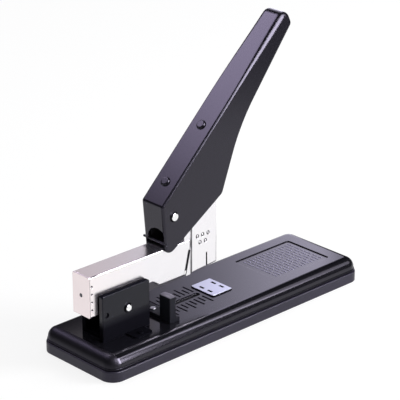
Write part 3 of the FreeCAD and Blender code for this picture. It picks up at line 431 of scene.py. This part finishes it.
def chrome(name, tint, roughness, worked=ROLLED_LENGTHWISE, sunk=None, warm_reflection_rear=None, reach=0.0025):
    """Bright sheet metal with a faint grain and cloudy haze. Hollows are painted dark as painted shade.

    sunk is a function that gives the mask of further places painted dark as shade. From the given rear on, a
    painted warm reflection fades into the sheet's tint.
    """
    looks = bpy.context.scene.stapler_metal
    edge_round = 0.00035
    hazed_level = 0.86
    haze_share, rim_share = 0.5, 0.4
    haze_spread = 0.10
    grain_spread = 0.08
    noise_offset = 0.08
    warm_reflection_length = 0.06
    finish = Finish(name, Metallic=1.0)
    soft = finish.rounded(edge_round)
    grain = finish.grain(worked)
    haze = finish.noise(per_metre=34, detail=3)
    rim = finish.edges(soft, gain=1.6)
    # Painted shade: hollows and the further masked places are mixed to black.
    dark = finish.hollows(reach)
    if sunk:
        dark = dark | sunk(finish)
    shade = finish.mixed((haze * haze_share + rim * rim_share).clamped(), tint, dimmed(tint, hazed_level))
    # Painted reflection: a warm tint fades in from the rear.
    if warm_reflection_rear is not None:
        warm_reflection = finish.along("Y").graded(warm_reflection_rear, warm_reflection_rear + warm_reflection_length, 1.0, 0.0)
        shade = finish.mixed(warm_reflection, shade, looks.warm_reflection_colour)
    base_roughness = haze * haze_spread + grain * grain_spread + (roughness - noise_offset)
    finish.feed(
        Base_Color=finish.mixed(dark, shade, BLACK),
        Roughness=base_roughness + dark * HOLLOW_ROUGHNESS,
        Normal=finish.bumped(grain, looks.grain, Normal=soft),
    )
    return finish.material


def plating(name):
    """Dull zinc plating of the small steel pieces."""
    metal = bpy.context.scene.stapler_metal
    return chrome(name, metal.plated_colour, metal.plated_roughness)


def turned(name, tint, roughness, axis, box):
    """Bright bar stock with fine turning rings about a lengthwise axis through the middle of its box."""
    low, high = box
    edge_round = 0.0003
    clouded_level = 0.93
    cloud_spread = 0.10
    ring_spread = 0.05
    noise_offset = 0.06
    ring_height = 0.000004
    finish = Finish(name, Metallic=1.0)
    soft = finish.rounded(edge_round)
    centred = finish.add("ShaderNodeMapping", {}, {"Vector": finish.place(), "Location": (low + high) / -2})
    rings = finish.add(
        "ShaderNodeTexWave",
        {"wave_type": "RINGS", "rings_direction": axis},
        {"Vector": centred, "Scale": 900.0, "Distortion": 1.5, "Detail": 1.0},
        output="Fac",
    )
    cloud = finish.noise(per_metre=120, detail=2)
    finish.feed(
        Base_Color=finish.mixed(cloud, tint, dimmed(tint, clouded_level)),
        Roughness=cloud * cloud_spread + rings * ring_spread + (roughness - noise_offset),
        Normal=finish.bumped(rings, ring_height, Normal=soft),
    )
    return finish.material


def staple_wire():
    """Fine wires of the staples, side by side along the magazine."""
    metal = bpy.context.scene.stapler_metal
    least_roughness = 0.22
    roughness_spread = 0.15
    finish = Finish("staple_wire", Metallic=1.0)
    ridges = finish.add(
        "ShaderNodeTexWave",
        {"wave_type": "BANDS", "bands_direction": "Y"},
        {"Vector": finish.place(), "Scale": 500.0},
        output="Fac",
    )
    finish.feed(
        # Painted shade: the grooves between the wires are darker.
        Base_Color=finish.mixed(ridges, metal.groove_shade_colour, metal.wire_colour),
        Roughness=finish.noise(per_metre=400, detail=2) * roughness_spread + least_roughness,
        Normal=finish.bumped(ridges, metal.wire_height),
    )
    return finish.material


# Dressing and adding pieces


def dress(names, material):
    """Puts a material on the solids of these names."""
    for name in names:
        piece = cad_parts[name]
        if not piece.material_slots:
            piece.data.materials.append(material)
        for slot in piece.material_slots:
            slot.material = material


def new_object(name, mesh, material):
    """An object of a finished bmesh, in its material and linked to the scene."""
    data = bpy.data.meshes.new(name)
    mesh.to_mesh(data)
    mesh.free()
    data.materials.append(material)
    thing = bpy.data.objects.new(name, data)
    bpy.context.scene.collection.objects.link(thing)
    return thing


def mesh_piece(name, mesh, material, body):
    """A piece that is in the scene alone and moves with a body."""
    piece = new_object(name, mesh, material)
    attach(piece, body)


def raised_bar(mesh, low, high, taper):
    """A small raised bar whose top is drawn in by taper on every side."""

    def ring(inset, height):
        across = (low[0] + inset, high[0] - inset)
        along = (low[1] + inset, high[1] - inset)
        return [mesh.verts.new((across[i], along[j], height)) for i, j in ((0, 0), (1, 0), (1, 1), (0, 1))]

    foot = ring(0, low[2])
    top = ring(taper, high[2])
    mesh.faces.new(foot[::-1])
    mesh.faces.new(top)
    for i in range(4):
        j = (i + 1) % 4
        mesh.faces.new((foot[i], foot[j], top[j], top[i]))


# Pieces of the stapler


class STAPLER_OT_base(bpy.types.Operator):
    """Finish the base cover, its skirt, bed plate and screws"""

    bl_idname = "stapler.base"
    bl_label = "Base"

    def execute(self, context):
        looks = context.scene.stapler_enamel
        metal = context.scene.stapler_metal
        low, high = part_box("base_cover")
        scale_half_width = 0.028
        scale_front = 0.04
        scale_rear = low.y + 0.012
        cut_top = high.z - 0.0002
        foot_dark_end = low.z + 0.0047
        foot_fade_end = low.z + 0.0053
        shade_end = low.z + 0.005
        foot_level, shoulder_level = 0.45, 0.88
        blur_start = low.z + 0.0055
        tail_front = low.y + 0.0085
        tail_level = 0.5

        def shaded_rough_tail(finish):
            """The cover's very rear, half painted shade and half blurred."""
            return (finish.along("Y") < tail_front) * tail_level

        def darkened(finish):
            """Painted shade in the cut strokes of the depth scale, on the foot of the cover's wall and on its
            very rear.
            """
            across, along, height = (finish.along(axis) for axis in "XYZ")
            scale = (abs(across) < scale_half_width) * along.between(scale_rear, scale_front)
            strokes = (height < cut_top) * scale
            foot = height.graded(foot_dark_end, foot_fade_end, 1.0, 0.0)
            shade = height.graded(low.z, shade_end, foot_level, shoulder_level)
            return strokes | foot * shade | shaded_rough_tail(finish)

        def blurred(finish, dark):
            """The dark places above the foot of the wall, and the very rear."""
            return dark * (finish.along("Z") > blur_start) | shaded_rough_tail(finish)

        coat = enamel("base_enamel", looks.base_colour, looks.base_roughness, sunk=darkened, blurred=blurred)
        dress(["base_cover"], coat)
        dress(["base_mat"], skirt_finish())
        dress(["bed_plate"], chrome("bed_steel", metal.dark_colour, metal.bed_roughness))
        dress(["base_screws"], plating("screw_plating"))
        return {"FINISHED"}


class STAPLER_OT_marks(bpy.types.Operator):
    """Raise rows of plain marks in the base's sunk panel"""

    bl_idname = "stapler.marks"
    bl_label = "Panel marks"

    def execute(self, context):
        sizes = context.scene.stapler_marks
        looks = context.scene.stapler_enamel
        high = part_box("base_cover")[1]
        panel_inset = 0.0182
        panel_half_width = 0.0235
        panel_depth = 0.00081
        front = high.y - panel_inset - sizes.margin
        half = panel_half_width - sizes.margin
        floor = high.z - panel_depth
        taper = 0.00015
        gap = 0.0016
        shortest = 0.002
        spans = (0.0062, 0.0034, 0.0048, 0.0075, 0.0028, 0.0055)
        mark_stride, row_stride = 5, 3
        mesh = bmesh.new()
        for row in range(sizes.rows):
            y = front - row * sizes.row_pitch
            x = -half
            mark = row
            while x < half - shortest:
                span = spans[(mark * mark_stride + row * row_stride) % len(spans)]
                reach = min(span, half - x)
                low_corner = (x, y - sizes.mark_width, floor)
                high_corner = (x + reach, y, floor + sizes.mark_height)
                raised_bar(mesh, low_corner, high_corner, taper)
                x += reach + gap
                mark += 1
        marks = enamel("raised_marks", looks.mark_colour, looks.mark_roughness, wear=0.9)
        mesh_piece("panel_marks", mesh, marks, "base")
        return {"FINISHED"}


class STAPLER_OT_anvil(bpy.types.Operator):
    """Finish the clinching anvil"""

    bl_idname = "stapler.anvil"
    bl_label = "Anvil"

    def execute(self, context):
        metal = context.scene.stapler_metal
        pocket_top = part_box("anvil_plate")[1].z - 0.00025

        # Painted shade everywhere below the plate's top face: in its pockets and on its sides.
        def pockets(finish):
            return finish.along("Z") < pocket_top

        plate = chrome("anvil_plating", metal.plate_colour, metal.anvil_roughness, TUMBLED, pockets)
        dress(["anvil_plate"], plate)
        return {"FINISHED"}


class STAPLER_OT_hinge(bpy.types.Operator):
    """Finish the hinge bracket, its rivets, pin and washers"""

    bl_idname = "stapler.hinge"
    bl_label = "Hinge"

    def execute(self, context):
        looks = context.scene.stapler_enamel
        metal = context.scene.stapler_metal
        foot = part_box("base_cover")[1].z
        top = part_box("hinge_bracket")[1].z
        dark_end = foot + 0.011
        fade_end = foot + 0.019
        foot_level = 0.93
        inner_half_width = 0.0137
        inner_start = top - 0.0008
        inner_level = 0.95
        edge_start = top - 0.00006
        edge_level = 0.55

        def shaded(finish):
            """Painted shade on the plates' foot and their inner rims at the top, and about half on their flat
            top edges.
            """
            height = finish.along("Z")
            low_part = height.graded(dark_end, fade_end, foot_level, 0.0)
            inside = (height > inner_start) * (abs(finish.along("X")) < inner_half_width)
            return low_part | (inside | (height > edge_start) * edge_level) * inner_level

        coat = enamel(
            "bracket_enamel",
            looks.bracket_colour,
            looks.bracket_roughness,
            gloss=0.58,
            facing=0.4,
            black=BRACKET_BLACK,
            sunk=shaded,
        )
        dress(["hinge_bracket", "bracket_rivets"], coat)
        pin = turned("hinge_pin_steel", metal.pin_colour, metal.pin_roughness, "X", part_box("hinge_pin"))
        dress(["hinge_pin"], pin)
        dress(["hinge_washers", "hinge_sleeve"], plating("washer_plating"))
        return {"FINISHED"}


class STAPLER_OT_guide(bpy.types.Operator):
    """Finish the sliding paper guide, its rivet and washer"""

    bl_idname = "stapler.guide"
    bl_label = "Paper guide"

    def execute(self, context):
        looks = context.scene.stapler_enamel
        metal = context.scene.stapler_metal
        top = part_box("paper_guide")[1].z
        # The guide's top gets a painted highlight.
        coat = enamel("guide_enamel", looks.bracket_colour, looks.guide_roughness, gloss=0.15, highlight_top=top)
        dress(["paper_guide"], coat)
        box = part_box("guide_rivet")
        rivet = turned("guide_rivet_steel", metal.spring_colour, metal.rivet_roughness, "Z", box)
        dress(["guide_rivet"], rivet)
        dress(["guide_washer"], plating("guide_washer_plating"))
        return {"FINISHED"}


class STAPLER_OT_arm(bpy.types.Operator):
    """Finish the chromed arm, its frame plates and head"""

    bl_idname = "stapler.arm"
    bl_label = "Arm"

    def execute(self, context):
        metal = context.scene.stapler_metal
        tint, roughness = metal.chrome_colour, metal.chrome_roughness
        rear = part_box("tail_cap")[0].y
        side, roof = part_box("body_cover")[1].xz
        crimp_rear, crimp_front = rear + 0.0025, rear + 0.009
        crimp_inner, crimp_outer = side - 0.0008, side - 0.0001
        heel_front = -0.042
        roof_start = roof - 0.0004

        def shaded_cover(finish):
            """Painted shade in the crimp marks by the tail, and painted shadow on the roof under the handle's
            heel.
            """
            along = finish.along("Y")
            across = abs(finish.along("X"))
            crimps = across.between(crimp_inner, crimp_outer) * along.between(crimp_rear, crimp_front)
            near_heel = finish.hollows(reach=0.012, start=0.75, gain=3.0)
            return (finish.along("Z") > roof_start) * (along < heel_front) * near_heel | crimps

        # The cover gets the painted warm reflection towards its tail.
        cover = chrome("cover_chrome", tint, roughness, sunk=shaded_cover, warm_reflection_rear=rear, reach=0.0005)
        dress(["body_cover"], cover)
        # Painted reflection: the tail cap is a pinker copy of the chrome.
        dress(["tail_cap"], chrome("tail_reflection_chrome", metal.tail_reflection_colour, roughness))
        low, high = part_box("head_housing")
        head_rear = low.y - 0.0065
        shadow_level = 0.94

        # Painted shade on the frame plates behind the head, where they show through the cover's gaps.
        def behind_head(finish):
            return (finish.along("Y") < head_rear) * shadow_level

        plates = chrome("frame_chrome", tint, roughness, ROLLED_UPRIGHT, behind_head)
        dress(["frame_plate_near", "frame_plate_far"], plates)
        mark_inner, mark_outer = high.x - 0.0006, high.x - 0.0002
        mark_front = high.y - 0.003

        # Painted shade in the stamped ring marks near the head's side.
        def ring_marks(finish):
            return finish.along("X").between(mark_inner, mark_outer) * (finish.along("Y") < mark_front)

        dress(["head_housing"], chrome("head_chrome", tint, roughness, ROLLED_UPRIGHT, ring_marks))
        dress(["spring_seat"], plating("seat_plating"))
        pin = turned("pivot_pin_steel", metal.pin_colour, metal.pin_roughness, "X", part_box("pivot_pin"))
        dress(["pivot_pin"], pin)
        dress(["pivot_clip"], chrome("clip_steel", metal.spring_colour, metal.spring_roughness))
        return {"FINISHED"}


class STAPLER_OT_magazine(bpy.types.Operator):
    """Finish the magazine, its rail, staples and pusher"""

    bl_idname = "stapler.magazine"
    bl_label = "Magazine"

    def execute(self, context):
        metal = context.scene.stapler_metal
        dress(["staple_rail", "staple_pusher", "rod_stop"], plating("magazine_plating"))
        dark = chrome("dark_steel", metal.dark_colour, metal.channel_roughness, DRAWN_LENGTHWISE)
        dress(["magazine_channel", "guide_rod"], dark)
        dress(["rail_pin"], chrome("rod_steel", metal.pin_colour, metal.rod_roughness, DRAWN_LENGTHWISE))
        dress(["staple_strip"], staple_wire())
        return {"FINISHED"}


class STAPLER_OT_handle(bpy.types.Operator):
    """Finish the folded handle and what is fixed in it"""

    bl_idname = "stapler.handle"
    bl_label = "Handle"

    def execute(self, context):
        looks = context.scene.stapler_enamel
        metal = context.scene.stapler_metal
        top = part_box("handle_shell")[1].z
        narrowing = top - 0.080

        def fold_radius(finish):
            return finish.along("Z").graded(narrowing, top, looks.fold_round, looks.tip_round)

        coat = enamel("handle_enamel", looks.handle_colour, looks.handle_roughness, round_by=fold_radius)
        dress(["handle_shell", "handle_rivets"], coat)
        dress(["press_bracket"], plating("press_plating"))
        pin = chrome("press_pin_steel", metal.spring_colour, metal.rod_roughness, DRAWN_CROSSWISE)
        dress(["press_pin"], pin)
        dress(["heel_rod"], enamel("rod_black", looks.bracket_colour, looks.rod_roughness))
        return {"FINISHED"}


class STAPLER_OT_ram(bpy.types.Operator):
    """Finish the ram and the driver blade"""

    bl_idname = "stapler.ram"
    bl_label = "Ram"

    def execute(self, context):
        metal = context.scene.stapler_metal
        ground = chrome("ground_steel", metal.plated_colour, metal.ram_roughness, GROUND_UPRIGHT)
        dress(["driver_ram", "driver_blade", "blade_rivets"], ground)
        return {"FINISHED"}


class STAPLER_OT_springs(bpy.types.Operator):
    """Finish the coil springs"""

    bl_idname = "stapler.springs"
    bl_label = "Springs"

    def execute(self, context):
        metal = context.scene.stapler_metal
        wire = chrome("spring_wire", metal.spring_colour, metal.spring_roughness, DRAWN_WIRE)
        dress(["lift_spring", "pusher_spring", "ram_spring"], wire)
        return {"FINISHED"}


# Floor, room, lights and camera


def floor_finish(tint, bright_reach):
    """Pale floor that keeps the shadow. Its mirror images are white near the stapler and dark beyond."""
    far_level = 0.06
    fade_reach = bright_reach * 1.5
    camera_lift = 0.09
    camera_share = 0.72
    mirrored_share = 0.94
    finish = Finish("pale_floor", Base_Color=tint, Specular_IOR_Level=0.0)
    seen = finish.add("ShaderNodeLightPath", output="Is Camera Ray")
    mirrored = finish.add("ShaderNodeLightPath", output="Is Glossy Ray")
    reach = finish.add("ShaderNodeVectorMath", {"operation": "LENGTH"}, {0: finish.place()}, output="Value")
    near = reach.graded(bright_reach, fade_reach, 1.0, far_level)
    level = (seen | near) + seen * camera_lift
    glow = finish.add("ShaderNodeEmission", {}, {"Color": WHITE, "Strength": level})
    plain = Channel(finish, finish.shader.outputs[0])
    share = seen * camera_share | mirrored * mirrored_share
    finish.show(finish.add("ShaderNodeMixShader", {}, {0: share, 1: plain, 2: glow}))
    return finish.material


def room(light, mirrored):
    """An even room that shows white to the camera and dim in reflections."""
    world = bpy.data.worlds.new("soft_room")
    bpy.context.scene.world = world
    world.use_nodes = True
    nodes = Nodes(world.node_tree)
    shown = nodes.add("ShaderNodeBackground", {}, {"Color": WHITE, "Strength": light})
    for ray, level in (("Is Glossy Ray", mirrored), ("Is Camera Ray", 1.0)):
        chosen = nodes.add("ShaderNodeLightPath", output=ray)
        other = nodes.add("ShaderNodeBackground", {}, {"Color": WHITE, "Strength": level})
        shown = nodes.add("ShaderNodeMixShader", {}, {0: chosen, 1: shown, 2: other})
    nodes.show(shown)


def stand_off(thing, target, line, distance):
    """Stands a thing off from its target along a line, looking back at it."""
    thing.location = Vector(target) + line * distance
    thing.rotation_euler = line.to_track_quat("Z", "Y").to_euler()


def card(name, towards, distance, size, stops, tint, level=1.0, line=(1, 0, 0)):
    """A large soft card seen only in reflections.

    It is graded through stops of (metres, level), measured from its middle along a line across it.
    """
    finish = Finish(name)
    stops = [(position, share * level) for position, share in stops]
    low, high = stops[0][0], stops[-1][0]
    top = max(share for position, share in stops)
    ramp = [((position - low) / (high - low), share / top) for position, share in stops]
    place = finish.dot(finish.place(), line).graded(low, high, 0.0, 1.0)
    shade = finish.add("ShaderNodeValToRGB", {"stops": ramp}, {0: place}, output="Color")
    finish.show(finish.add("ShaderNodeEmission", {}, {"Color": tint, "Strength": shade * top}))
    mesh = bmesh.new()
    bmesh.ops.create_grid(mesh, x_segments=1, y_segments=1, size=0.5)
    sheet = new_object(name, mesh, finish.material)
    sheet.data.transform(Matrix.Diagonal((*size, 1, 1)))
    stand_off(sheet, MIDDLE, Vector(towards).normalized(), distance)
    sheet.visible_camera = False
    sheet.visible_diffuse = False
    sheet.visible_shadow = False


def lamp(name, towards, distance, size, power):
    """A soft oblong lamp that isn't seen in reflections."""
    light = bpy.data.lights.new(name, "AREA")
    light.shape = "RECTANGLE"
    light.size, light.size_y = size
    light.energy = power
    holder = bpy.data.objects.new(name, light)
    bpy.context.scene.collection.objects.link(holder)
    holder.visible_glossy = False
    stand_off(holder, MIDDLE, Vector(towards).normalized(), distance)


def lay_floor(stage):
    """A wide floor just under the stapler."""
    half_width = 6
    drop = 0.0003
    mesh = bmesh.new()
    bmesh.ops.create_grid(mesh, x_segments=2, y_segments=2, size=half_width)
    floor = new_object("floor", mesh, floor_finish(stage.floor_colour, stage.bright_reach))
    floor.location.z = -drop


def set_lights(stage):
    """The lamp that casts the shadow, and a card for each large bright reflection."""
    lamp("key_lamp", towards=(0.607, 0.637, 0.475), distance=1.4, size=(0.5, 0.7), power=stage.key_power)
    card(
        "key_card",
        towards=(0.52, 0.637, 0.57),
        distance=1.4,
        size=(0.80, 0.56),
        stops=(
            (-0.36, 0.0),
            (-0.13, 0.0),
            (-0.10, 0.8),
            (-0.067, 0.75),
            (-0.033, 0.66),
            (0.0, 0.38),
            (0.047, 0.2),
            (0.36, 0.15),
        ),
        tint=(1.02, 0.99, 1.06, 1),
        level=stage.key_level,
    )
    card(
        "far_card",
        towards=(-0.668, 0.637, 0.385),
        distance=0.9,
        size=(1.1, 1.0),
        stops=(
            (-0.215, 0.0),
            (-0.17, 1.4),
            (-0.15, 2.7),
            (-0.08, 2.0),
            (-0.02, 1.25),
            (0.07, 0.55),
            (0.13, 0.12),
            (0.16, 0.05),
        ),
        tint=(1.03, 0.99, 1.20, 1),
    )
    card(
        "tail_card",
        towards=(-0.668, -0.367, 0.648),
        distance=0.9,
        size=(0.62, 0.62),
        stops=((-0.10, 0.03), (-0.05, 0.4), (-0.03, 1.0), (0.10, 4.2), (0.23, 5.4)),
        tint=(1.13, 1.02, 1.33, 1),
        line=(-0.55, 0.83, 0),
    )
    card(
        "side_card",
        towards=(0.882, 0.105, 0.462),
        distance=1.19,
        size=(1.1, 1.3),
        stops=((-0.17, 0.0), (-0.05, 1.0), (0.9, 1.0)),
        tint=(1.0, 0.97, 1.05, 1),
        level=stage.side_level,
        line=(0.85, 0.527, 0),
    )
    card(
        "roof_card",
        towards=(-0.167, 0.045, 0.09),
        distance=0.195,
        size=(0.10, 0.08),
        stops=((-0.05, 0.56), (0.05, 0.64)),
        tint=(1.0, 0.92, 0.97, 1),
    )


def set_camera(stage):
    """The camera at the photograph's viewing angle."""
    camera = bpy.data.cameras.new("camera")
    camera.lens = stage.lens
    camera.sensor_width = SENSOR_WIDTH
    camera.clip_end = FAR_CLIP
    holder = bpy.data.objects.new("camera", camera)
    bpy.context.scene.collection.objects.link(holder)
    turn, rise = stage.azimuth, stage.elevation
    back = Vector((math.sin(turn) * math.cos(rise), -math.cos(turn) * math.cos(rise), math.sin(rise)))
    stand_off(holder, stage.target, back, stage.distance)
    bpy.context.scene.camera = holder


class STAPLER_OT_stage(bpy.types.Operator):
    """Lay the floor, light the room and set the camera"""

    bl_idname = "stapler.stage"
    bl_label = "Stage"

    def execute(self, context):
        stage = context.scene.stapler_stage
        lay_floor(stage)
        room(stage.room_light, stage.mirrored_room)
        set_lights(stage)
        set_camera(stage)
        context.scene.view_settings.view_transform = "Standard"
        return {"FINISHED"}


# Add-on

OPERATORS = (
    STAPLER_OT_base,
    STAPLER_OT_marks,
    STAPLER_OT_anvil,
    STAPLER_OT_hinge,
    STAPLER_OT_guide,
    STAPLER_OT_arm,
    STAPLER_OT_magazine,
    STAPLER_OT_handle,
    STAPLER_OT_ram,
    STAPLER_OT_springs,
    STAPLER_OT_stage,
)


class STAPLER_PT_panel(bpy.types.Panel):
    """Lists the stapler's finishes and sizes"""

    bl_idname = "STAPLER_PT_panel"
    bl_label = "Stapler"
    bl_space_type = "VIEW_3D"
    bl_region_type = "UI"
    bl_category = "Stapler"

    def draw(self, context):
        for name, group in GROUPS.items():
            box = self.layout.box()
            holder = getattr(context.scene, name)
            for key in group.__annotations__:
                box.prop(holder, key)
        for operator in OPERATORS:
            self.layout.operator(operator.bl_idname)


def register():
    for name, group in GROUPS.items():
        bpy.utils.register_class(group)
        setattr(bpy.types.Scene, name, PointerProperty(type=group))
    for operator in OPERATORS:
        bpy.utils.register_class(operator)
    bpy.utils.register_class(STAPLER_PT_panel)


def unregister():
    bpy.utils.unregister_class(STAPLER_PT_panel)
    for operator in reversed(OPERATORS):
        bpy.utils.unregister_class(operator)
    for name, group in GROUPS.items():
        delattr(bpy.types.Scene, name)
        bpy.utils.unregister_class(group)


def main():
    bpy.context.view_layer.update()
    register()
    for operator in OPERATORS:
        section, action = operator.bl_idname.split(".")
        getattr(getattr(bpy.ops, section), action)()


if __name__ == "__main__":
    main()
